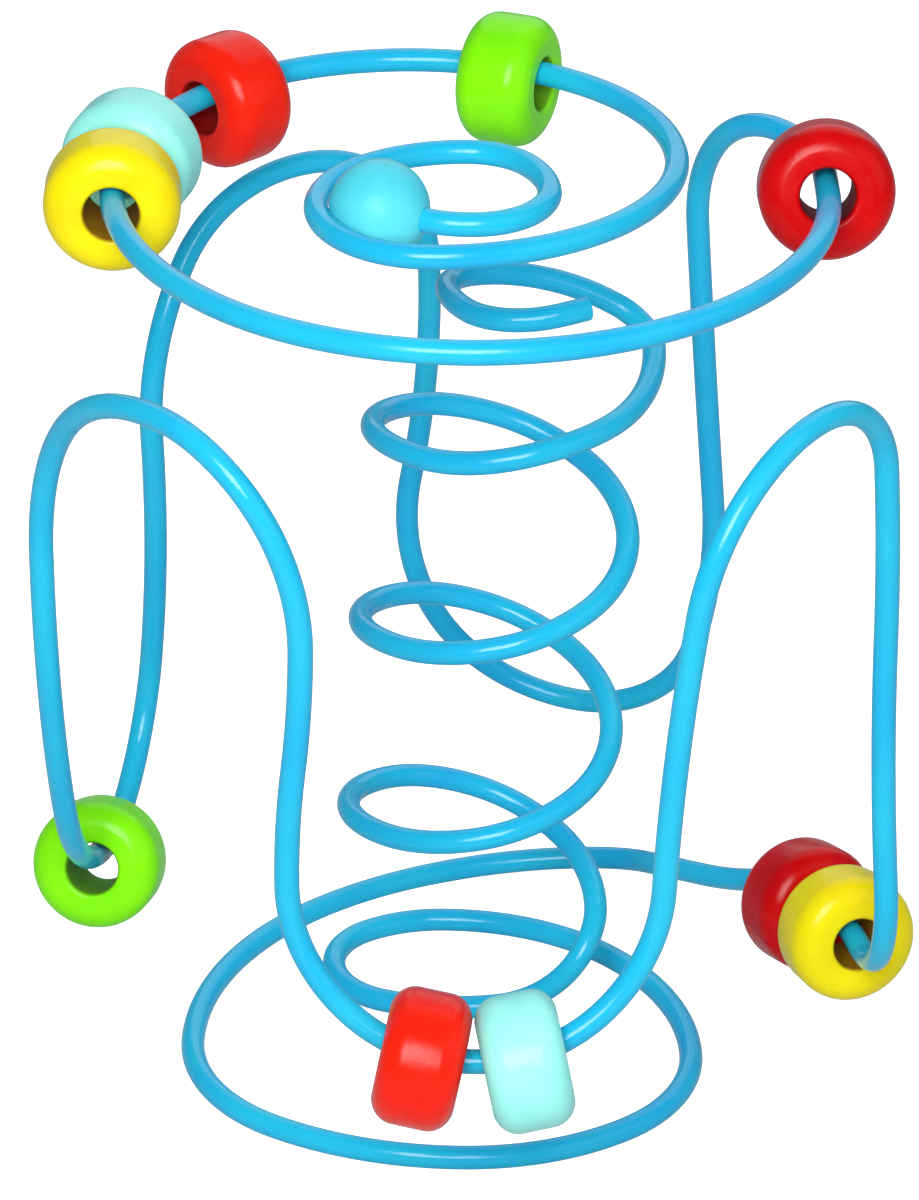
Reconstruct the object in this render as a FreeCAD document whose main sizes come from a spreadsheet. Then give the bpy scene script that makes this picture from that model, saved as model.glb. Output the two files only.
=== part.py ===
"""Bead maze: one bent, coated wire that stands on its own bottom ring, ten sliding beads and an end ball.

Frame: millimetres, +Z up. The floor is z = 0, and the origin is on the floor at the middle of the whole
maze's outline. +X is the right-hand side and -Y the front. Stations are counted from the middle of the
crown of arches, which stands a little behind the origin. Azimuths are in degrees from +X, anticlockwise
seen from above.

The wire starts inside the ball, makes a small loop, winds out into the large top ring, drops over a
shoulder into the crown of arches and valleys, comes down to the floor, lies there as the bottom ring and
climbs from its inner turn as a helix. It is bent from plain circular arcs: each station gives a place and
a direction, and two arcs that share a tangent lead from one station to the next.
"""
import FreeCAD, Part
import Sketcher
import math
import os

Vector = FreeCAD.Vector
X_AXIS = Vector(1, 0, 0)
Y_AXIS = Vector(0, 1, 0)
Z_AXIS = Vector(0, 0, 1)

# ------------------------------------------------------------------ driving sizes (mm, degrees)

SIZES = {
    "wire_diameter": 4.3,
    "floor_flat": 0.5,
    "middle_x": 0.3,
    "middle_y": 4.3,
    "top_height": 168.7,
    "crown_radius": 78.0,
    # helix
    "helix_radius": 23.6,
    "helix_pitch": 38.8,
    "helix_foot_height": 1.3,
    "helix_axis_x": -1.6,
    "helix_axis_y": 14.3,
    "helix_lean": 0.064,
    "helix_rise_back": 0.087,
    "helix_rise_left": 0.07,
    "helix_turns": 3.25,
    # beads, all of one pattern; the bore is the wire's diameter and a slack
    "bead_diameter": 24.0,
    "bead_thickness": 14.2,
    "bead_slack": 5.3,
    "bead_edge_round": 5.0,
    "bead_bore_round": 0.8,
    "bead_gap": 0.33,
    # end ball, drilled straight for the wire that is glued into it
    "ball_diameter": 17.5,
    "ball_x": -15.8,
    "ball_y": -4.0,
    "ball_lift": 0.6,
    "ball_wire_heading": -25.0,
    "ball_wire_climb": -3.0,
    "ball_hole_past_centre": 2.0,
    "ball_glue_gap": 0.05,
}

# Flat stations of the top spiral and of the bottom ring: plan place x, y. The heading turns by a
# quarter from one to the next, because each is where the curve reaches furthest to one side.
PLAN_STATIONS = {
    "loop_front_in": (0.3, -9.3),
    "loop_right": (13.5, 4.5),
    "loop_back": (-1.0, 22.5),
    "loop_left": (-26.8, -1.3),
    "loop_front_out": (-6.3, -23.0),
    "ring_inner_right": (36.0, 19.0),
    "ring_back": (-11.3, 65.5),
    "ring_left": (-62.3, 7.9),
    "ring_front": (0.6, -61.1),
    "ring_right": (61.6, 2.5),
    "base_left": (-51.5, -4.0),
    "base_front": (-0.5, -43.5),
    "base_right": (40.6, -9.0),
    "foot_back": (-5.7, 39.7),
    "foot_left": (-25.9, 24.1),
}

# Stations round the crown: azimuth, draw-in from the crown's radius, height, climb (0 level, 90 straight
# up, -90 straight down) and toe, the degrees by which the heading turns outward from the crown's circle.
CROWN_STATIONS = {
    "shoulder": (34.0, 10.0, 165.7, 0.0, -1.0),
    "leg_1": (54.0, 0.0, 81.4, -95.5, 0.0),
    "valley_1": (74.0, 0.0, 30.5, 0.0, 1.6),
    "leg_2": (98.4, 0.0, 78.3, 101.1, 0.0),
    "arch_2": (112.4, 0.0, 145.6, 0.0, 1.1),
    "leg_3": (139.5, 0.0, 99.6, -93.0, 0.0),
    "valley_2": (154.8, 4.0, 27.3, 0.0, -16.0),
    "leg_4": (197.1, 0.0, 112.4, 89.5, 0.0),
    "arch_3": (230.1, 0.0, 155.5, 0.0, 9.1),
    "leg_5": (248.7, 0.0, 119.2, -91.0, 0.0),
    "leg_5_foot": (246.4, 0.0, 74.6, -90.0, 0.0),
    "valley_3": (270.8, 0.0, 43.6, 0.0, 0.0),
    "leg_6": (294.6, 0.0, 73.0, 87.0, 0.0),
    "arch_4": (317.7, 0.0, 152.2, 0.0, -3.3),
    "leg_7": (336.8, 0.0, 99.0, -89.7, 0.0),
    "right_bend": (350.8, 6.4, 26.6, -3.0, -19.0),
    "right_level": (12.5, 15.4, 24.0, -15.0, -14.0),
    "right_ramp": (40.5, 20.0, 13.0, -15.0, 0.0),
}

# Stations that belong to no plane and no circle: x, y, height, heading, climb.
FREE_STATIONS = {
    "base_back": (20.6, 60.4, 3.4, 174.0, -5.0),
    "foot_front": (4.4, 6.2, 2.9, 0.0, 5.6),
    "helix_front": (6.7, -9.2, 124.0, 0.0, 11.0),
    "helix_right": (32.9, 26.3, 128.7, 90.0, 11.2),
    "tip_back": (12.3, 36.1, 138.5, 180.0, 11.3),
    "tip_left": (-4.3, 24.1, 142.0, 270.0, 6.8),
    "tip_front": (9.6, 5.7, 143.9, 0.0, 2.9),
    "tip_end": (20.3, 8.1, 145.0, 28.9, 1.7),
}

# Where each bead hangs: its section of wire, how far along that section its middle is, and how many
# degrees its axis is nodded upward and swung to the left of the wire's own direction there.
BEADS = {
    "bead_top_green": ("wire_top_ring", 55.0, 0.0, 0.0),
    "bead_top_orange": ("wire_top_ring", 109.8, 0.0, 0.0),
    "bead_top_aqua": ("wire_top_ring", 141.6, 0.0, 0.0),
    "bead_top_yellow": ("wire_top_ring", 160.2, 0.0, 0.0),
    "bead_top_red": ("wire_shoulder", 7.6, -9.0, 0.0),
    "bead_left_green": ("wire_left_valley", 99.7, 0.0, 0.0),
    "bead_front_orange": ("wire_front_valley", 85.6, 5.0, 0.0),
    "bead_front_aqua": ("wire_front_valley", 103.0, -3.2, 0.0),
    "bead_base_yellow": ("wire_right_bend", 92.6, -7.0, 0.0),
    "bead_base_red": ("wire_right_bend", 108.4, 0.0, 0.0),
}


def read_sheet(doc):
    """Write every size into the sheet under its own alias, and return a reader for them."""
    sheet = doc.addObject("Spreadsheet::Sheet", "Sizes")
    cells = dict(SIZES)
    for name, (x, y) in PLAN_STATIONS.items():
        cells[name + "_x"] = x
        cells[name + "_y"] = y
    for name, values in CROWN_STATIONS.items():
        for part, value in zip(("azimuth", "draw_in", "height", "climb", "toe"), values):
            cells[name + "_" + part] = value
    for name, values in FREE_STATIONS.items():
        for part, value in zip(("x", "y", "height", "heading", "climb"), values):
            cells[name + "_" + part] = value
    for name, (_, *values) in BEADS.items():
        for part, value in zip(("run", "nod", "swing"), values):
            cells[name + "_" + part] = value
    for row, (alias, value) in enumerate(cells.items(), start=1):
        sheet.set("A%d" % row, alias)
        sheet.set("B%d" % row, repr(value))
        sheet.setAlias("B%d" % row, alias)
    doc.recompute()
    return lambda alias: float(sheet.get(alias))


# ------------------------------------------------------------------ stations


def direction(heading, climb):
    """Unit vector that points along a plan heading and climbs by an angle, both in degrees."""
    a, c = math.radians(heading), math.radians(climb)
    return Vector(math.cos(a) * math.cos(c), math.sin(a) * math.cos(c), math.sin(c))


def from_middle(size, east, north, height):
    """A place counted from the middle of the crown."""
    return Vector(size("middle_x") + east, size("middle_y") + north, height)


def flat_station(size, name, height, heading):
    return from_middle(size, size(name + "_x"), size(name + "_y"), height), direction(heading, 0)


def crown_station(size, name):
    azimuth = size(name + "_azimuth")
    radius = size("crown_radius") - size(name + "_draw_in")
    place = from_middle(size, 0, 0, size(name + "_height")) + direction(azimuth, 0) * radius
    return place, direction(azimuth + 90 - size(name + "_toe"), size(name + "_climb"))


def free_station(size, name):
    place = from_middle(size, size(name + "_x"), size(name + "_y"), size(name + "_height"))
    return place, direction(size(name + "_heading"), size(name + "_climb"))


def helix_place(size, turn):
    """A point of the helix, whose turns are counted from its foot at the back, anticlockwise."""
    height = size("helix_foot_height") + size("helix_pitch") * (turn - 0.25)
    east = size("helix_radius") * math.cos(math.tau * (turn + 0.25))
    north = size("helix_radius") * math.sin(math.tau * (turn + 0.25))
    return from_middle(
        size,
        size("helix_axis_x") + size("helix_lean") * height + east,
        size("helix_axis_y") + north,
        height + size("helix_rise_back") * north - size("helix_rise_left") * east,
    )


def helix_station(size, turn):
    step = 1e-4
    ahead = helix_place(size, turn + step) - helix_place(size, turn - step)
    return helix_place(size, turn), ahead.normalize()


def ball_station(size, run):
    """A point of the straight end of the wire, counted from the ball's centre toward the maze."""
    centre = from_middle(size, size("ball_x"), size("ball_y"), size("top_height") + size("ball_lift"))
    heading = direction(size("ball_wire_heading"), size("ball_wire_climb"))
    return centre + heading * run, heading


def wire_stations(size):
    """The stations of each section of the wire, in order from the ball to the bare end."""
    top = size("top_height")
    floor = size("wire_diameter") / 2 - size("floor_flat")

    def flat(names, height, first_heading):
        return [flat_station(size, n, height, first_heading + 90 * i) for i, n in enumerate(names)]

    def crown(*names):
        return [crown_station(size, n) for n in names]

    def free(name):
        return free_station(size, name)

    loop = flat(["loop_front_in", "loop_right", "loop_back", "loop_left", "loop_front_out", "ring_inner_right"],
                top, 0)
    ring = flat(["ring_inner_right", "ring_back", "ring_left", "ring_front", "ring_right"], top, 90)
    base = flat(["base_left", "base_front", "base_right", "foot_back"], floor, 270)
    foot = flat(["foot_back", "foot_left"], floor, 180)
    quarters = range(3, int(4 * size("helix_turns")) + 1)
    helix = [helix_station(size, q / 4) for q in quarters]
    tip = [free(n) for n in ("helix_front", "helix_right", "tip_back", "tip_left", "tip_front", "tip_end")]
    return {
        "wire_top_loop": [ball_station(size, size("ball_diameter") / 2)] + loop,
        "wire_top_ring": ring,
        "wire_shoulder": [ring[-1]] + crown("shoulder", "leg_1"),
        "wire_back_valley": crown("leg_1", "valley_1", "leg_2"),
        "wire_back_arch": crown("leg_2", "arch_2", "leg_3"),
        "wire_left_valley": crown("leg_3", "valley_2", "leg_4"),
        "wire_left_arch": crown("leg_4", "arch_3", "leg_5"),
        "wire_front_valley": crown("leg_5", "leg_5_foot", "valley_3", "leg_6"),
        "wire_right_arch": crown("leg_6", "arch_4", "leg_7"),
        "wire_right_bend": crown("leg_7", "right_bend", "right_level", "right_ramp"),
        "wire_base_ring": crown("right_ramp") + [free("base_back")] + base,
        "wire_helix": foot + [free("foot_front")] + helix + tip,
    }


# ------------------------------------------------------------------ arcs between stations


class Arc:
    """One circular arc of the wire's middle line, given by its ends and its first direction."""

    def __init__(self, start, heading, end):
        self.start, self.end = start, end
        self.heading = Vector(heading)
        chord = end - start
        self.inward = (chord - heading * chord.dot(heading)).normalize()
        half = chord.getAngle(heading)
        self.radius = chord.Length / (2 * math.sin(half))
        self.angle = 2 * half
        self.centre = start + self.inward * self.radius
        self.axis = heading.cross(self.inward)
        self.length = self.radius * self.angle

    def place(self, run):
        """The point a distance along the arc."""
        a = run / self.radius
        return self.centre - self.inward * self.radius * math.cos(a) + self.heading * self.radius * math.sin(a)

    def tangent(self, run):
        a = run / self.radius
        return self.heading * math.cos(a) + self.inward * math.sin(a)

    def edge(self):
        return Part.Arc(self.start, self.place(self.length / 2), self.end).toShape()


class Straight:
    """A straight length of the wire's middle line."""

    def __init__(self, start, end):
        self.start, self.end = start, end
        self.length = (end - start).Length
        self.heading = (end - start).normalize()

    def place(self, run):
        return self.start + self.heading * run

    def tangent(self, run):
        return self.heading

    def edge(self):
        return Part.LineSegment(self.start, self.end).toShape()


def two_arcs(start, heading, end, end_heading):
    """The pair of arcs that leaves and arrives as asked and shares one tangent where it meets."""
    chord = end - start
    both = heading + end_heading
    along = chord.dot(both)
    turn = 2 * (1 - heading.dot(end_heading))
    if turn < 1e-9:
        reach = chord.dot(chord) / (4 * chord.dot(end_heading))
    else:
        reach = (math.sqrt(along * along + turn * chord.dot(chord)) - along) / turn
    middle = (start + end + (heading - end_heading) * reach) * 0.5
    shared = (chord - both * reach).normalize()
    return [Arc(start, heading, middle), Arc(middle, shared, end)]


def section_arcs(stations):
    arcs = []
    for (start, heading), (end, end_heading) in zip(stations[:-1], stations[1:]):
        arcs += two_arcs(start, heading, end, end_heading)
    return arcs


def wire_sections(size):
    """The arcs of each section; the first section also has the straight end that sits in the ball."""
    sections = {name: section_arcs(stations) for name, stations in wire_stations(size).items()}
    floor_of_hole, _ = ball_station(size, -size("ball_hole_past_centre"))
    sections["wire_top_loop"].insert(0, Straight(floor_of_hole, sections["wire_top_loop"][0].start))
    return sections


def locate(arcs, run):
    """The arc that holds a distance along a section, and what is left of the distance on it."""
    for arc in arcs[:-1]:
        if run <= arc.length:
            return arc, run
        run -= arc.length
    return arcs[-1], run


def least_gap(arcs, wire_diameter, step=1.5):
    """The smallest gap of the wire to itself, measured on points along its whole middle line."""
    points = []
    for arc in arcs:
        count = max(1, round(arc.length / step))
        points += [arc.place(arc.length * k / count) for k in range(count)]
    skip = int(4 * wire_diameter / step)
    least = min(
        (points[i] - points[j]).Length
        for i in range(len(points))
        for j in range(i + skip, len(points))
    )
    return least - wire_diameter


# ------------------------------------------------------------------ pieces


def bend_wire(doc, name, arcs, lies_on_floor):
    """A section of wire: a circle swept along its arcs, cut flat below where it lies on the floor."""
    path = doc.addObject("Part::Feature", name + "_path")
    path.Shape = Part.Wire([arc.edge() for arc in arcs])
    ring = doc.addObject("Part::Circle", name + "_round")
    ring.setExpression("Radius", "Sizes.wire_diameter / 2")
    ring.Placement = FreeCAD.Placement(arcs[0].start, FreeCAD.Rotation(Z_AXIS, arcs[0].heading))
    tube = doc.addObject("Part::Sweep", name + "_tube")
    tube.Sections = [ring]
    tube.Spine = (path, ["Edge%d" % (i + 1) for i in range(len(arcs))])
    tube.Solid = True
    tube.Frenet = False
    if not lies_on_floor:
        tube.Label = name
        return tube
    below = doc.addObject("Part::Box", name + "_floor")
    for side, start in (("Length", "x"), ("Width", "y")):
        below.setExpression(side, "4 * Sizes.crown_radius")
        below.setExpression("Placement.Base." + start, "-2 * Sizes.crown_radius")
    below.setExpression("Height", "Sizes.wire_diameter")
    below.setExpression("Placement.Base.z", "-Sizes.wire_diameter")
    flat = doc.addObject("Part::Cut", name + "_flat")
    flat.Base = tube
    flat.Tool = below
    flat.Label = name
    return flat


def bead_place(size, arcs, run, nod, swing):
    """Where a bead hangs: its bore rests on the wire from above, a gap apart, over its whole length."""
    arc, rest = locate(arcs, run)
    tangent = arc.tangent(rest)
    side = Z_AXIS.cross(tangent).normalize()
    axis = FreeCAD.Rotation(side, -nod).multVec(tangent)
    axis = FreeCAD.Rotation(Z_AXIS, swing).multVec(axis)
    side = Z_AXIS.cross(axis).normalize()
    up = axis.cross(side)
    half = size("bead_thickness") / 2
    slack = size("bead_slack") / 2 - size("bead_gap")
    drop = slack
    for k in range(-6, 7):
        near, left = locate(arcs, run + half * k / 6)
        offset = near.place(left) - arc.place(rest)
        aside = offset.dot(side)
        reach = math.sqrt(max(0.0, slack * slack - aside * aside))
        drop = min(drop, reach - offset.dot(up))
    turn = FreeCAD.Rotation(side, up, axis, "ZXY")
    return FreeCAD.Placement(arc.place(rest) - up * drop, turn)


def turn_bead(doc, name, place):
    """A bead: a ring turned from its half section, then rounded outside and at the mouths of its bore."""
    body = doc.addObject("PartDesign::Body", name)
    plane = next(f for f in body.Origin.OriginFeatures if f.Role == "XZ_Plane")
    sketch = body.newObject("Sketcher::SketchObject", name + "_section")
    sketch.AttachmentSupport = [(plane, "")]
    sketch.MapMode = "FlatFace"
    corners = [Vector(5, -7, 0), Vector(12, -7, 0), Vector(12, 7, 0), Vector(5, 7, 0)]
    bottom, outside, top, bore = range(4)
    for line in range(4):
        sketch.addGeometry(Part.LineSegment(corners[line], corners[(line + 1) % 4]), False)
    for line in range(4):
        sketch.addConstraint(Sketcher.Constraint("Coincident", line, 2, (line + 1) % 4, 1))
    for line, way in ((bottom, "Horizontal"), (top, "Horizontal"), (bore, "Vertical")):
        sketch.addConstraint(Sketcher.Constraint(way, line))
    sketch.addConstraint(Sketcher.Constraint("Symmetric", outside, 1, outside, 2, -1))
    bounds = (
        ("bore", ("DistanceX", -1, 1, bore, 1, 5.0), "(Sizes.wire_diameter + Sizes.bead_slack) / 2"),
        ("outside", ("DistanceX", -1, 1, outside, 1, 12.0), "Sizes.bead_diameter / 2"),
        ("thickness", ("DistanceY", outside, 1, outside, 2, 14.0), "Sizes.bead_thickness"),
    )
    for label, terms, bound in bounds:
        index = sketch.addConstraint(Sketcher.Constraint(*terms))
        sketch.renameConstraint(index, label)
        sketch.setExpression("Constraints." + label, bound)
    blank = body.newObject("PartDesign::Revolution", name + "_blank")
    blank.Profile = sketch
    blank.ReferenceAxis = (sketch, ["V_Axis"])
    blank.Angle = 360.0
    doc.recompute()
    rims = {True: [], False: []}
    widest = max(edge.Curve.Radius for edge in blank.Shape.Edges if isinstance(edge.Curve, Part.Circle))
    for index, edge in enumerate(blank.Shape.Edges, start=1):
        if isinstance(edge.Curve, Part.Circle):
            rims[abs(edge.Curve.Radius - widest) < 0.01].append("Edge%d" % index)
    outer = body.newObject("PartDesign::Fillet", name + "_edge_round")
    outer.Base = (blank, rims[True])
    outer.setExpression("Radius", "Sizes.bead_edge_round")
    doc.recompute()
    mouths = [
        "Edge%d" % index
        for index, edge in enumerate(outer.Shape.Edges, start=1)
        if isinstance(edge.Curve, Part.Circle) and edge.Curve.Radius < widest / 2
        and abs(edge.Curve.Axis.z) > 0.9
    ]
    inner = body.newObject("PartDesign::Fillet", name + "_bore_round")
    inner.Base = (outer, mouths)
    inner.setExpression("Radius", "Sizes.bead_bore_round")
    body.Placement = place
    return body


def turn_ball(doc, name, size):
    """The end ball: a sphere with a blind hole whose floor the wire's end touches."""
    centre, heading = ball_station(size, 0)
    floor_of_hole, _ = ball_station(size, -size("ball_hole_past_centre"))
    turn = FreeCAD.Rotation(Z_AXIS, heading)
    ball = doc.addObject("Part::Sphere", name + "_round")
    ball.setExpression("Radius", "Sizes.ball_diameter / 2")
    ball.Placement = FreeCAD.Placement(centre, turn)
    hole = doc.addObject("Part::Cylinder", name + "_hole")
    hole.setExpression("Radius", "Sizes.wire_diameter / 2 + Sizes.ball_glue_gap")
    hole.setExpression("Height", "Sizes.ball_diameter")
    hole.Placement = FreeCAD.Placement(floor_of_hole, turn)
    drilled = doc.addObject("Part::Cut", name + "_drilled")
    drilled.Base = ball
    drilled.Tool = hole
    drilled.Label = name
    return drilled


def check(doc, pieces):
    """Stop unless every object is sound and every piece is one valid solid."""
    bad = [o.Name for o in doc.Objects if "Invalid" in o.State or "Error" in o.State]
    for piece in pieces:
        shape = piece.Shape
        if shape.isNull() or not shape.isValid() or len(shape.Solids) != 1:
            bad.append(piece.Label)
    if bad:
        raise RuntimeError("unsound: " + ", ".join(bad))


def main():
    doc = FreeCAD.newDocument("BeadMaze")
    size = read_sheet(doc)
    sections = wire_sections(size)
    whole = [arc for arcs in sections.values() for arc in arcs]
    length = sum(arc.length for arc in whole)
    print("wire: %.0f mm long, least gap to itself %.2f mm" % (length, least_gap(whole, size("wire_diameter"))))

    pieces = [
        bend_wire(doc, name, arcs, name in ("wire_base_ring", "wire_helix"))
        for name, arcs in sections.items()
    ]
    pieces.append(turn_ball(doc, "end_ball", size))
    for name, (section, *_) in BEADS.items():
        run, nod, swing = (size(name + part) for part in ("_run", "_nod", "_swing"))
        pieces.append(turn_bead(doc, name, bead_place(size, sections[section], run, nod, swing)))
    doc.recompute()
    check(doc, pieces)

    os.makedirs("parts", exist_ok=True)
    for piece in pieces:
        piece.Shape.exportStep("parts/%s.step" % piece.Label)
        box = piece.Shape.BoundBox
        print("%-18s %7.0f mm3  x %6.1f..%6.1f  y %6.1f..%6.1f  z %6.1f..%6.1f" % (
            piece.Label, piece.Shape.Volume, box.XMin, box.XMax, box.YMin, box.YMax, box.ZMin, box.ZMax))


if __name__ == "__main__":
    main()
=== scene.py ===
"""Looks of the bead maze: a coated wire, ten lacquered beads and an end ball on a pale floor.

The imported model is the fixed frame. Everything is in metres in its frame: +Z up, -Y to the front,
and the origin on the floor under the middle of the maze.
"""

from __future__ import annotations

import logging
import math
from dataclasses import dataclass, field
from enum import Enum
from typing import Any

import bpy
import numpy as np
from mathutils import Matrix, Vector

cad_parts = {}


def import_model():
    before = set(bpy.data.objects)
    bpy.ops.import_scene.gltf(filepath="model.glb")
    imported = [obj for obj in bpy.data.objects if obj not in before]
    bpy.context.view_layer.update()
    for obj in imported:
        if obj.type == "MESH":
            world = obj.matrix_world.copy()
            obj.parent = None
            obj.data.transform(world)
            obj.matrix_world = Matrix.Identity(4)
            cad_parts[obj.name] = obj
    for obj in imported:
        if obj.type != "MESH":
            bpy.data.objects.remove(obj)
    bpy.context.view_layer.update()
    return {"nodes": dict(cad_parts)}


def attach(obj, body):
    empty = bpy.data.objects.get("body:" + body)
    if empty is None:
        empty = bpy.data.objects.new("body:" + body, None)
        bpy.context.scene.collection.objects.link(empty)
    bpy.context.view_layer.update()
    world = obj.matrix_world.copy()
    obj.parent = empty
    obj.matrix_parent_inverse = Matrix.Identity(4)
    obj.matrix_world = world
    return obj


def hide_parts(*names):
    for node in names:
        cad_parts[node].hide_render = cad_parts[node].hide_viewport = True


LOG = logging.getLogger("bead_maze")
MM = 0.001
Colour = tuple[float, float, float]
Span = tuple[float, float]
Socket = bpy.types.NodeSocket
Sockets = bpy.types.bpy_prop_collection

# The stretch of a noise, of its whole run from 0 to 1, that makes the full change of a pattern.
TONE_NOISE: Span = (0.35, 0.70)
GLOSS_NOISE: Span = (0.3, 0.7)
STREAK_NOISE: Span = (0.52, 0.72)


def linear(colour: Colour) -> tuple[float, float, float, float]:
    """Turn a screen colour into the linear one that a shader takes.

    Args:
        colour: red, green and blue as a screen shows them, from 0 to 1.

    Returns:
        The linear colour with an alpha of 1.
    """
    parts = [c / 12.92 if c <= 0.04045 else ((c + 0.055) / 1.055) ** 2.4 for c in colour]
    return (parts[0], parts[1], parts[2], 1.0)


@dataclass
class Bench:
    """A node tree that nodes are put on and joined up.

    Attributes:
        tree: the tree of a material, of the surroundings or of a geometry modifier.
    """

    tree: bpy.types.NodeTree

    def put(self, kind: str, inputs: dict[str | int, Any] | None = None,
            **settings: Any) -> bpy.types.Node:
        """Put a node on the tree.

        Args:
            kind: the node's type.
            inputs: a value or another node's socket for each input that isn't left as it is.
            settings: the node's own settings.

        Returns:
            The node.
        """
        node = self.tree.nodes.new(kind)
        for name, value in settings.items():
            setattr(node, name, value)
        for name, value in (inputs or {}).items():
            self.feed(node, name, value)
        return node

    def feed(self, node: bpy.types.Node, name: str | int, value: Any) -> None:
        """Give one input of a node its value.

        Args:
            node: the node.
            name: the input's name or number.
            value: a plain value, or a socket to join to the input.
        """
        if isinstance(value, Socket):
            self.tree.links.new(value, node.inputs[name])
        else:
            node.inputs[name].default_value = value

    def sum_up(self, operation: str, first: Any, second: Any = 0.0, third: Any = 0.0) -> Socket:
        """Work out a number from one, two or three others.

        Args:
            operation: what the Math node does.
            first: its first number or socket.
            second: its second number or socket.
            third: its third number or socket.

        Returns:
            The socket of the result.
        """
        terms = {0: first, 1: second, 2: third}
        return self.put("ShaderNodeMath", terms, operation=operation).outputs[0]

    def spread(self, value: Socket, old: Span, new: Span) -> Socket:
        """Stretch a value from one range to another, and hold it there.

        Args:
            value: the socket to stretch.
            old: the range that the value has.
            new: the range that the result has.

        Returns:
            The socket of the result.
        """
        return self.put("ShaderNodeMapRange", {
            "Value": value, "From Min": old[0], "From Max": old[1],
            "To Min": new[0], "To Max": new[1],
        }).outputs["Result"]

    def noise(self, place: Socket, size: float, detail: float = 2.0) -> Socket:
        """Add a noise whose patches have a real size.

        Args:
            place: the socket of the coordinates.
            size: how wide one patch is, in metres.
            detail: how many finer layers lie over it.

        Returns:
            The socket of the noise, about 0.3 to 0.7.
        """
        terms = {"Vector": place, "Scale": 1.0 / size, "Detail": detail}
        return self.put("ShaderNodeTexNoise", terms).outputs["Fac"]

    def blend(self, share: Socket, first: Any, second: Any) -> Socket:
        """Blend two colours.

        Args:
            share: the socket of how much of the second colour shows.
            first: the first colour or its socket.
            second: the second colour or its socket.

        Returns:
            The socket of the blended colour.
        """
        terms = {"Factor": share, "A": first, "B": second}
        return self.put("ShaderNodeMix", terms, data_type="RGBA").outputs["Result"]


# ---------------------------------------------------------------- finishes


@dataclass(frozen=True)
class Coat:
    """A glossy coat, even enough to look new, with the faint drift and ripple that dipping leaves.

    Attributes:
        name: the material's name.
        colour: the colour of most of the surface.
        pooled: the deeper colour where the coat ran thick.
        roughness: the least and the most roughness.
        pooling: the greatest share of the deeper colour.
        drift: how wide the slow changes of colour are, in metres.
        patch: how wide the changes of gloss are, in drifts.
        ripple: how wide the coat's fine ripple is, in metres.
        depth: how deep the ripple is, in widths of it.
        tilt: how strongly the ripple tilts the surface.
        shine: the level of the plain reflection.
    """

    name: str
    colour: Colour
    pooled: Colour
    roughness: Span = (0.20, 0.30)
    pooling: float = 1.0
    drift: float = 12 * MM
    patch: float = 0.4
    ripple: float = 1.8 * MM
    depth: float = 0.25
    tilt: float = 0.10
    shine: float = 0.20

    def build(self) -> bpy.types.Material:
        """Make the material.

        Returns:
            The finished material.
        """
        material = bpy.data.materials.new(self.name)
        material.use_nodes = True
        self.lay(Bench(material.node_tree))
        return material

    def lay(self, bench: Bench) -> None:
        """Lay the coat over a bare surface.

        Args:
            bench: the material's nodes.
        """
        place = bench.put("ShaderNodeTexCoord").outputs["Object"]
        colour = bench.blend(self.tone(bench, place), linear(self.colour), linear(self.pooled))
        self.finish(bench, colour, self.gloss(bench, place), bench.noise(place, self.ripple, 3.0))

    def tone(self, bench: Bench, place: Socket) -> Socket:
        """Tell where the coat ran thick.

        Args:
            bench: the material's nodes.
            place: the socket of the coordinates that the coat's patterns follow.

        Returns:
            The socket of the share of the deeper colour.
        """
        return bench.spread(bench.noise(place, self.drift), TONE_NOISE, (0.0, self.pooling))

    def gloss(self, bench: Bench, place: Socket) -> Socket:
        """Vary the roughness in patches smaller than those of the colour.

        Args:
            bench: the material's nodes.
            place: the socket of the coordinates that the coat's patterns follow.

        Returns:
            The socket of the roughness.
        """
        patches = bench.noise(place, self.drift * self.patch, 4.0)
        return bench.spread(patches, GLOSS_NOISE, self.roughness)

    def finish(self, bench: Bench, colour: Socket, gloss: Socket, height: Socket) -> None:
        """Join the coat's patterns to the shader.

        Args:
            bench: the material's nodes.
            colour: the socket of the colour.
            gloss: the socket of the roughness.
            height: the socket of the ripple's height.
        """
        shader = bench.tree.nodes["Principled BSDF"]
        bench.feed(shader, "Base Color", colour)
        bench.feed(shader, "Roughness", gloss)
        bench.feed(shader, "Specular IOR Level", self.shine)
        bump = bench.put("ShaderNodeBump", {
            "Strength": self.tilt, "Distance": self.ripple * self.depth, "Height": height,
        })
        bench.feed(shader, "Normal", bump.outputs["Normal"])


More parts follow.
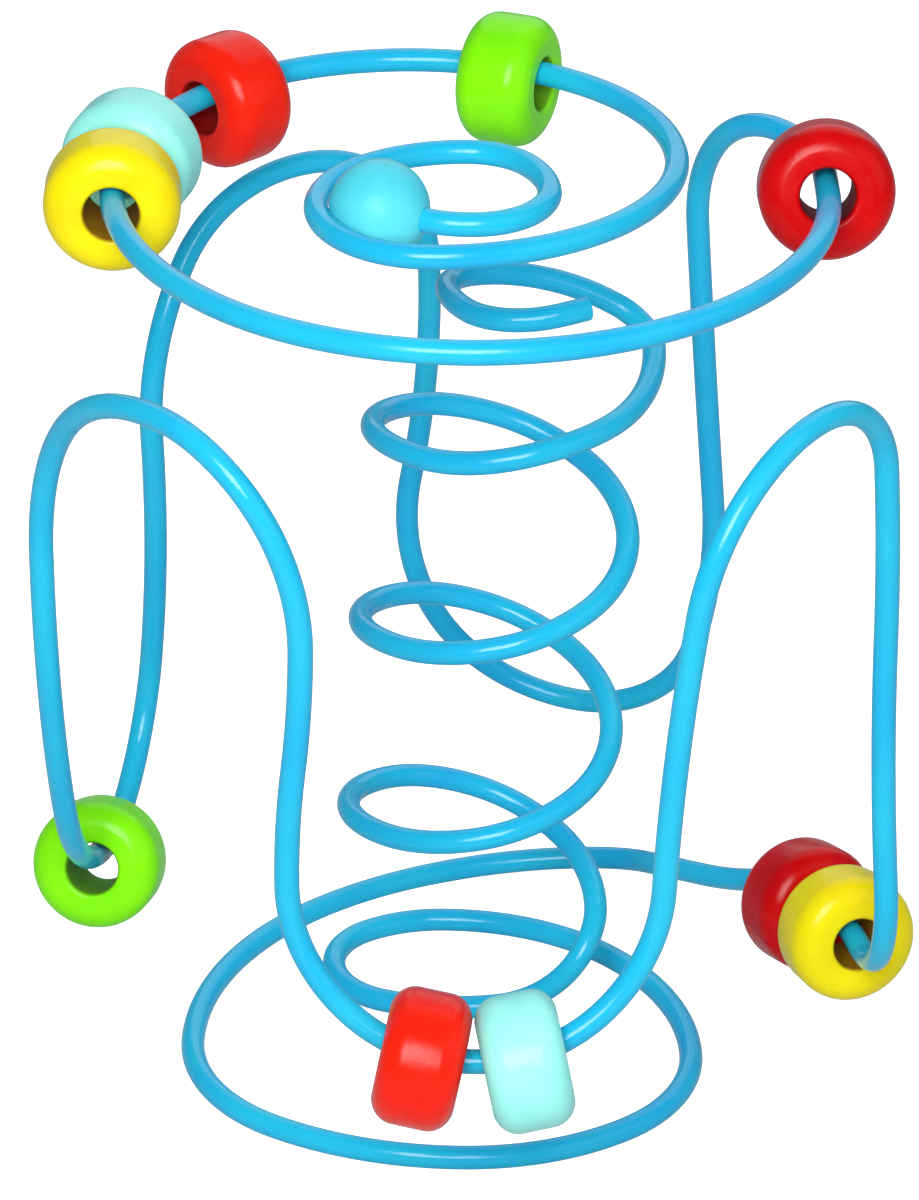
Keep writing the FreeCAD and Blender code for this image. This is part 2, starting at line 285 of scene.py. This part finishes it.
@dataclass(frozen=True)
class Lacquer(Coat):
    """A lacquer over turned wood, which lets the grain show as a faint relief.

    It is thin in the bore, where the wood darkens it and takes its gloss. The darker colour there
    is also painted shade, standing in for the shade deep in the bore.

    Attributes:
        slot: the name of the frame's material slot for this lacquer; not used.
        bore: the colour in the bore, partly the wood under the thin lacquer and partly painted
            shade.
        grain: how wide one fibre of the wood is, in metres.
        fibre: how many times longer than wide a fibre is.
        streak: the greatest share of the deeper colour along a fibre.
        relief: how high the grain stands, in heights of the ripple.
        mouth: the distances from the axis between which the lacquer thins and the bore's painted
            shade fades out, in metres.
        dulling: how much rougher the bore is.
    """

    pooling: float = 0.8
    slot: str = ""
    bore: Colour = (0.3, 0.2, 0.1)
    grain: float = 0.7 * MM
    fibre: float = 12.0
    streak: float = 0.5
    relief: float = 0.35
    mouth: Span = (4.85 * MM, 5.3 * MM)
    dulling: float = 0.4

    def lay(self, bench: Bench) -> None:
        """Lay the lacquer over the wood, in the bead's own space.

        Args:
            bench: the material's nodes.
        """
        turned = bench.put("ShaderNodeAttribute", attribute_name="turned").outputs["Vector"]
        batch = bench.put("ShaderNodeAttribute", attribute_name="batch").outputs["Vector"]
        moved = bench.put("ShaderNodeVectorMath", {0: turned, 1: batch}, operation="ADD")
        place = moved.outputs["Vector"]
        along = (1.0, 1.0, 1.0 / self.fibre)
        fibres = bench.put("ShaderNodeVectorMath", {0: place, 1: along}, operation="MULTIPLY")
        grain = bench.noise(fibres.outputs["Vector"], self.grain, 3.0)

        streak = bench.spread(grain, STREAK_NOISE, (0.0, self.streak))
        deep = bench.sum_up("MAXIMUM", self.tone(bench, place), streak)
        colour = bench.blend(deep, linear(self.colour), linear(self.pooled))

        parts = bench.put("ShaderNodeSeparateXYZ", {0: turned}).outputs
        flat = bench.put("ShaderNodeCombineXYZ", {0: parts[0], 1: parts[1]}).outputs[0]
        radius = bench.put("ShaderNodeVectorMath", {0: flat}, operation="LENGTH").outputs["Value"]
        # Inside the mouth the colour turns to the bore colour, partly the wood under thin lacquer
        # and partly painted shade of the bore; the bore is also rougher.
        thin_and_shaded = bench.spread(radius, self.mouth, (1.0, 0.0))
        colour = bench.blend(thin_and_shaded, colour, linear(self.bore))

        gloss = bench.sum_up("MULTIPLY_ADD", thin_and_shaded, self.dulling, self.gloss(bench, place))
        ripple = bench.noise(place, self.ripple, 3.0)
        height = bench.sum_up("MULTIPLY_ADD", grain, self.relief, ripple)
        self.finish(bench, colour, gloss, height)


class BeadColour(Enum):
    """The lacquers that the beads come in."""

    # Each bore colour is a darker tone of its lacquer: partly the wood under thin lacquer, partly
    # painted shade of the bore.
    RED = Lacquer("lacquer_red", (0.82, 0.0, 0.015), (0.73, 0.0, 0.01),
                  slot="bead_red", bore=(0.56, 0.0, 0.03))
    ORANGE = Lacquer("lacquer_orange_red", (0.97, 0.13, 0.02), (0.90, 0.08, 0.01),
                     slot="bead_orange", bore=(0.62, 0.03, 0.02))
    YELLOW = Lacquer("lacquer_yellow", (0.96, 0.89, 0.01), (0.94, 0.81, 0.0),
                     slot="bead_yellow", bore=(0.66, 0.46, 0.05))
    GREEN = Lacquer("lacquer_lime", (0.53, 0.96, 0.02), (0.46, 0.90, 0.01),
                    slot="bead_green", bore=(0.38, 0.62, 0.08))
    AQUA = Lacquer("lacquer_aqua", (0.63, 0.96, 0.91), (0.57, 0.92, 0.89),
                   slot="bead_aqua", bore=(0.42, 0.68, 0.66))


BALL_COAT = Coat("lacquer_ball", (0.36, 0.86, 0.90), (0.29, 0.81, 0.89), roughness=(0.30, 0.42))
WIRE_COAT = Coat("wire_coat", (0.13, 0.74, 0.88), (0.10, 0.685, 0.88), roughness=(0.15, 0.23),
                 drift=26 * MM, ripple=1.5 * MM, tilt=0.06, shine=0.32)


# ---------------------------------------------------------------- the maze


@dataclass
class BentWire:
    """The one long wire, in the sections that the frame gives it.

    Attributes:
        prefix: what the names of the wire's nodes start with.
        coat: the coat on the wire.
    """

    prefix: str = "wire_"
    coat: Coat = WIRE_COAT

    def dress(self, nodes: dict[str, bpy.types.Object]) -> None:
        """Coat every section.

        Args:
            nodes: the frame's nodes by name.
        """
        coat = self.coat.build()
        sections = [node for name, node in nodes.items() if name.startswith(self.prefix)]
        for node in sections:
            node.data.materials.clear()
            node.data.materials.append(coat)
        LOG.info("wire: %d sections coated", len(sections))


@dataclass
class BeadLathe:
    """The tree that turns a bead: a rounded section carried round the bore.

    Attributes:
        name: the tree's name.
        sizes: the named inputs that take a number, with their values, in metres.
        rounds: how many steps each rounded edge has.
        steps: how many steps the bead has around its bore.
    """

    name: str = "bead_lathe"
    sizes: dict[str, float] = field(default_factory=lambda: {
        "Diameter": 24.0 * MM,
        "Bore": 9.6 * MM,
        "Thickness": 14.2 * MM,
        "Edge Round": 4.2 * MM,
        "Mouth Round": 1.0 * MM,
        "Crown": 0.25 * MM,
    })
    rounds: int = 12
    steps: int = 144

    def build(self) -> bpy.types.NodeTree:
        """Make the tree.

        Returns:
            The geometry tree.
        """
        tree = bpy.data.node_groups.new(self.name, "GeometryNodeTree")
        sockets = tree.interface
        for name, value in self.sizes.items():
            socket = sockets.new_socket(name, in_out="INPUT", socket_type="NodeSocketFloat")
            socket.default_value = value
        for name, kind in (("Centre", "NodeSocketVector"), ("Axis", "NodeSocketVector"),
                           ("Seed", "NodeSocketInt"), ("Lacquer", "NodeSocketMaterial")):
            sockets.new_socket(name, in_out="INPUT", socket_type=kind)
        sockets.new_socket("Bead", in_out="OUTPUT", socket_type="NodeSocketGeometry")
        bench = Bench(tree)
        given = bench.put("NodeGroupInput").outputs
        section = self._section(bench, given)
        bead = self._sweep(bench, given, section)
        bead = self._mark(bench, given, bead)
        place = bench.put("FunctionNodeAlignRotationToVector", {"Vector": given["Axis"]}, axis="Z")
        moved = bench.put("GeometryNodeTransform", {
            "Geometry": bead, "Translation": given["Centre"], "Rotation": place.outputs[0],
        })
        smooth = bench.put("GeometryNodeSetShadeSmooth", {"Geometry": moved.outputs[0]})
        real = bench.put("GeometryNodeRealizeInstances", {"Geometry": smooth.outputs[0]})
        dressed = bench.put("GeometryNodeSetMaterial", {
            "Geometry": real.outputs[0], "Material": given["Lacquer"],
        })
        bench.put("NodeGroupOutput", {"Bead": dressed.outputs[0]})
        return tree

    def _section(self, bench: Bench, given: Sockets) -> Socket:
        """Draw the half section: a rounded box with a slightly crowned outside.

        Args:
            bench: the tree's nodes.
            given: the tree's named inputs.

        Returns:
            The socket of the section's curve, drawn about its own middle with the outside at +X.
        """
        both_walls = bench.sum_up("SUBTRACT", given["Diameter"], given["Bore"])
        wall = bench.sum_up("MULTIPLY", both_walls, 0.5)
        box = bench.put("GeometryNodeCurvePrimitiveQuadrilateral", {
            "Width": wall, "Height": given["Thickness"],
        })
        position = bench.put("GeometryNodeInputPosition").outputs[0]
        place = bench.put("ShaderNodeSeparateXYZ", {0: position}).outputs
        outside = bench.sum_up("GREATER_THAN", place[0], 0.0)
        change = bench.sum_up("SUBTRACT", given["Edge Round"], given["Mouth Round"])
        radius = bench.sum_up("MULTIPLY_ADD", outside, change, given["Mouth Round"])
        fillet = bench.put("GeometryNodeFilletCurve", {
            "Curve": box.outputs[0], "Radius": radius, "Count": self.rounds,
        }, mode="POLY")
        share = bench.sum_up("DIVIDE", place[1], bench.sum_up("MULTIPLY", given["Thickness"], 0.5))
        inward = bench.sum_up("MULTIPLY", bench.sum_up("MULTIPLY", share, share), given["Crown"])
        inward = bench.sum_up("MULTIPLY", bench.sum_up("MULTIPLY", inward, outside), -1.0)
        fall = bench.put("ShaderNodeCombineXYZ", {0: inward}).outputs[0]
        return bench.put("GeometryNodeSetPosition", {
            "Geometry": fillet.outputs[0], "Offset": fall,
        }).outputs[0]

    def _sweep(self, bench: Bench, given: Sockets, section: Socket) -> Socket:
        """Carry the section round the bore.

        Args:
            bench: the tree's nodes.
            given: the tree's named inputs.
            section: the socket of the half section.

        Returns:
            The socket of the bead's mesh, with its bore along Z.
        """
        both = bench.sum_up("ADD", given["Diameter"], given["Bore"])
        middle = bench.sum_up("MULTIPLY", both, 0.25)
        rail = bench.put("GeometryNodeCurvePrimitiveCircle", {
            "Resolution": self.steps, "Radius": middle,
        })
        return bench.put("GeometryNodeCurveToMesh", {
            "Curve": rail.outputs[0], "Profile Curve": section,
        }).outputs[0]

    def _mark(self, bench: Bench, given: Sockets, bead: Socket) -> Socket:
        """Keep the bead's own coordinates and its place in the plank, for the lacquer's patterns.

        Args:
            bench: the tree's nodes.
            given: the tree's named inputs.
            bead: the socket of the bead's mesh.

        Returns:
            The socket of the marked mesh.
        """
        position = bench.put("GeometryNodeInputPosition").outputs[0]
        turned = bench.put("GeometryNodeStoreNamedAttribute", {
            "Geometry": bead, "Name": "turned", "Value": position,
        }, data_type="FLOAT_VECTOR")
        chance = bench.put("FunctionNodeRandomValue", {
            "Max": (1.0, 1.0, 1.0), "ID": given["Seed"], "Seed": given["Seed"],
        }, data_type="FLOAT_VECTOR")
        return bench.put("GeometryNodeStoreNamedAttribute", {
            "Geometry": turned.outputs[0], "Name": "batch", "Value": chance.outputs[0],
        }, data_type="FLOAT_VECTOR").outputs[0]


@dataclass
class Beads:
    """The ten beads, each with the lacquer that its place on the maze has.

    Attributes:
        lathe: the tree that turns them.
        colours: the lacquer of each bead, by the bead's node.
    """

    lathe: BeadLathe = field(default_factory=BeadLathe)
    colours: dict[str, BeadColour] = field(default_factory=lambda: {
        "bead_top_green": BeadColour.GREEN,
        "bead_top_orange": BeadColour.ORANGE,
        "bead_top_aqua": BeadColour.AQUA,
        "bead_top_yellow": BeadColour.YELLOW,
        "bead_top_red": BeadColour.RED,
        "bead_left_green": BeadColour.GREEN,
        "bead_front_orange": BeadColour.ORANGE,
        "bead_front_aqua": BeadColour.AQUA,
        "bead_base_yellow": BeadColour.YELLOW,
        "bead_base_red": BeadColour.RED,
    })

    def build(self, nodes: dict[str, bpy.types.Object]) -> None:
        """Turn, place and lacquer every bead.

        Args:
            nodes: the frame's nodes by name.
        """
        tree = self.lathe.build()
        made: dict[BeadColour, bpy.types.Material] = {}
        for seed, (name, colour) in enumerate(self.colours.items(), start=1):
            if colour not in made:
                made[colour] = colour.value.build()
            centre, axis = self._seat(nodes[name])
            bead = self._turn(tree, name + "_turned", {
                "Centre": centre, "Axis": axis, "Seed": seed, "Lacquer": made[colour],
            })
            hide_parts(name)
            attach(bead, name)
        LOG.info("beads: %d turned and lacquered in %d colours", len(self.colours), len(made))

    @staticmethod
    def _seat(node: bpy.types.Object) -> tuple[Vector, Vector]:
        """Find where a bead sits from the node that it stands for.

        Args:
            node: the bead's node.

        Returns:
            The bead's middle, and the direction of its bore, in which its surface reaches least.
        """
        faces = node.data.polygons
        area = np.array([face.area for face in faces])
        places = np.array([face.center for face in faces])
        middle = np.average(places, axis=0, weights=area)
        reach = (places - middle).T @ ((places - middle) * area[:, None])
        return Vector(middle), Vector(np.linalg.eigh(reach)[1][:, 0])

    @staticmethod
    def _turn(tree: bpy.types.NodeTree, name: str, values: dict[str, Any]) -> bpy.types.Object:
        """Run the lathe once and keep what it made as a plain mesh.

        Args:
            tree: the lathe's tree.
            name: the new piece's name.
            values: the value of each named input that differs from bead to bead.

        Returns:
            The bead, with its place in its mesh.
        """
        bead = bpy.data.objects.new(name, bpy.data.meshes.new(name + "_blank"))
        bpy.context.collection.objects.link(bead)
        lathe = bead.modifiers.new("lathe", "NODES")
        lathe.node_group = tree
        for socket in tree.interface.items_tree:
            if socket.in_out == "INPUT" and socket.name in values:
                lathe[socket.identifier] = values[socket.name]
        ready = bpy.context.evaluated_depsgraph_get()
        mesh = bpy.data.meshes.new_from_object(
            bead.evaluated_get(ready), preserve_all_data_layers=True, depsgraph=ready
        )
        bead.modifiers.remove(lathe)
        bead.data = mesh
        return bead


@dataclass
class EndBall:
    """The ball on the wire's upper end."""

    node: str = "end_ball"
    coat: Coat = BALL_COAT

    def dress(self, nodes: dict[str, bpy.types.Object]) -> None:
        """Lacquer the ball.

        Args:
            nodes: the frame's nodes by name.
        """
        nodes[self.node].data.materials.clear()
        nodes[self.node].data.materials.append(self.coat.build())
        LOG.info("end ball lacquered")


# ---------------------------------------------------------------- studio


@dataclass(frozen=True)
class SoftBox:
    """A square lamp that shines on the maze.

    Attributes:
        name: the lamp's name.
        place: where it hangs, in metres.
        width: its side, in metres.
        watts: its power.
        tint: the colour of its light.
    """

    name: str
    place: tuple[float, float, float]
    width: float
    watts: float
    tint: Colour = (1.0, 1.0, 1.0)


@dataclass
class Studio:
    """A white floor, soft lamps and a long lens.

    Attributes:
        aim: the point that the lamps face.
        lamps: the lamps.
        sky: how brightly the surroundings light the maze.
        sky_tint: the colour of that light.
        paper: how pale the floor is.
        glow: how much light the floor gives off for the lens alone.
        reach: how far the floor runs each way, in metres.
        drop: how far the floor lies below the maze, in metres.
        distance: from the lens to the maze's upright middle line, in metres.
        elevation: how far the lens looks down, in degrees.
        side: how far the lens stands to the side, in metres.
        depth: how far the maze's middle line stands behind the origin, in metres.
        height: the height that the lens looks at, in metres.
        focal: the focal length, in heights of the picture.
        sensor: how high the picture is behind the lens, in millimetres.
    """

    aim: tuple[float, float, float] = (0.0, 0.0, 0.09)
    lamps: tuple[SoftBox, ...] = (
        SoftBox("front", (-0.09, -0.75, 0.59), 0.43, 8.1, (1.0, 0.99, 0.94)),
        SoftBox("side", (0.75, -0.45, 0.55), 0.80, 1.2),
        SoftBox("back", (0.20, 1.00, 0.90), 1.40, 6.0),
    )
    sky: float = 0.32
    sky_tint: Colour = (0.62, 0.80, 1.0)
    paper: float = 0.60
    glow: float = 0.93
    reach: float = 4.0
    drop: float = 0.05 * MM
    distance: float = 1.0
    elevation: float = 27.5
    side: float = -1.8 * MM
    depth: float = 4.3 * MM
    height: float = 91.6 * MM
    focal: float = 5600 / 1200
    sensor: float = 36.0

    def build(self) -> None:
        """Put up the floor, the lamps, the surroundings and the lens."""
        self._floor()
        self._surroundings()
        for lamp in self.lamps:
            self._lamp(lamp)
        self._lens()
        bpy.context.scene.view_settings.view_transform = "Standard"
        LOG.info("studio: %d lamps", len(self.lamps))

    def _floor(self) -> None:
        """Lay the pale floor, which looks white to the lens."""
        sides = ((-1, -1), (1, -1), (1, 1), (-1, 1))
        corners = [(x * self.reach, y * self.reach, 0) for x, y in sides]
        mesh = bpy.data.meshes.new("floor")
        mesh.from_pydata(corners, [], [(0, 1, 2, 3)])
        floor = bpy.data.objects.new("floor", mesh)
        floor.location.z = -self.drop
        bpy.context.collection.objects.link(floor)
        material = bpy.data.materials.new("floor_paper")
        material.use_nodes = True
        bench = Bench(material.node_tree)
        paper = material.node_tree.nodes["Principled BSDF"]
        bench.feed(paper, "Base Color", (self.paper, self.paper, self.paper, 1))
        bench.feed(paper, "Roughness", 0.9)
        bench.feed(paper, "Specular IOR Level", 0.1)
        glow = bench.put("ShaderNodeEmission", {"Strength": self.glow})
        both = bench.put("ShaderNodeAddShader", {0: paper.outputs[0], 1: glow.outputs[0]})
        seen = self._seen(bench)
        pick = bench.put("ShaderNodeMixShader", {0: seen, 1: paper.outputs[0], 2: both.outputs[0]})
        bench.feed(material.node_tree.nodes["Material Output"], "Surface", pick.outputs[0])
        mesh.materials.append(material)

    def _surroundings(self) -> None:
        """Fill the surroundings with an even pale light, which looks white to the lens."""
        world = bpy.data.worlds.new("surroundings")
        world.use_nodes = True
        bench = Bench(world.node_tree)
        light = world.node_tree.nodes["Background"]
        bench.feed(light, "Color", (*self.sky_tint, 1))
        bench.feed(light, "Strength", self.sky)
        white = bench.put("ShaderNodeBackground", {"Color": (1, 1, 1, 1), "Strength": 1.0})
        seen = self._seen(bench)
        pick = bench.put("ShaderNodeMixShader", {0: seen, 1: light.outputs[0], 2: white.outputs[0]})
        bench.feed(world.node_tree.nodes["World Output"], "Surface", pick.outputs[0])
        bpy.context.scene.world = world

    @staticmethod
    def _seen(bench: Bench) -> Socket:
        """Tell what the lens sees from what only lights the maze.

        Args:
            bench: the nodes of the material or of the surroundings.

        Returns:
            The socket that is 1 for what the lens sees.
        """
        return bench.put("ShaderNodeLightPath").outputs["Is Camera Ray"]

    def _lamp(self, lamp: SoftBox) -> None:
        """Hang one lamp so that it faces the maze.

        Args:
            lamp: the lamp to hang.
        """
        data = bpy.data.lights.new(lamp.name, "AREA")
        data.size = lamp.width
        data.energy = lamp.watts
        data.color = lamp.tint
        piece = bpy.data.objects.new(lamp.name, data)
        piece.location = lamp.place
        towards = Vector(self.aim) - Vector(lamp.place)
        piece.rotation_euler = towards.to_track_quat("-Z", "Y").to_euler()
        bpy.context.collection.objects.link(piece)

    def _lens(self) -> None:
        """Set the lens where the photographer stood."""
        tilt = math.radians(self.elevation)
        data = bpy.data.cameras.new("lens")
        data.sensor_width = self.sensor
        data.lens = self.sensor * self.focal
        data.clip_start, data.clip_end = 0.05, 20.0
        lens = bpy.data.objects.new("lens", data)
        lens.location = (
            self.side,
            self.depth - self.distance * math.cos(tilt),
            self.height + self.distance * math.sin(tilt),
        )
        lens.rotation_euler = (math.pi / 2 - tilt, 0.0, 0.0)
        bpy.context.collection.objects.link(lens)
        bpy.context.scene.camera = lens


def main() -> None:
    """Load the frame, make and dress each sub-assembly, and put up the studio."""
    logging.basicConfig(level=logging.INFO, format="%(name)s: %(message)s")
    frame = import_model()
    BentWire().dress(frame["nodes"])
    Beads().build(frame["nodes"])
    EndBall().dress(frame["nodes"])
    Studio().build()


if __name__ == "__main__":
    main()
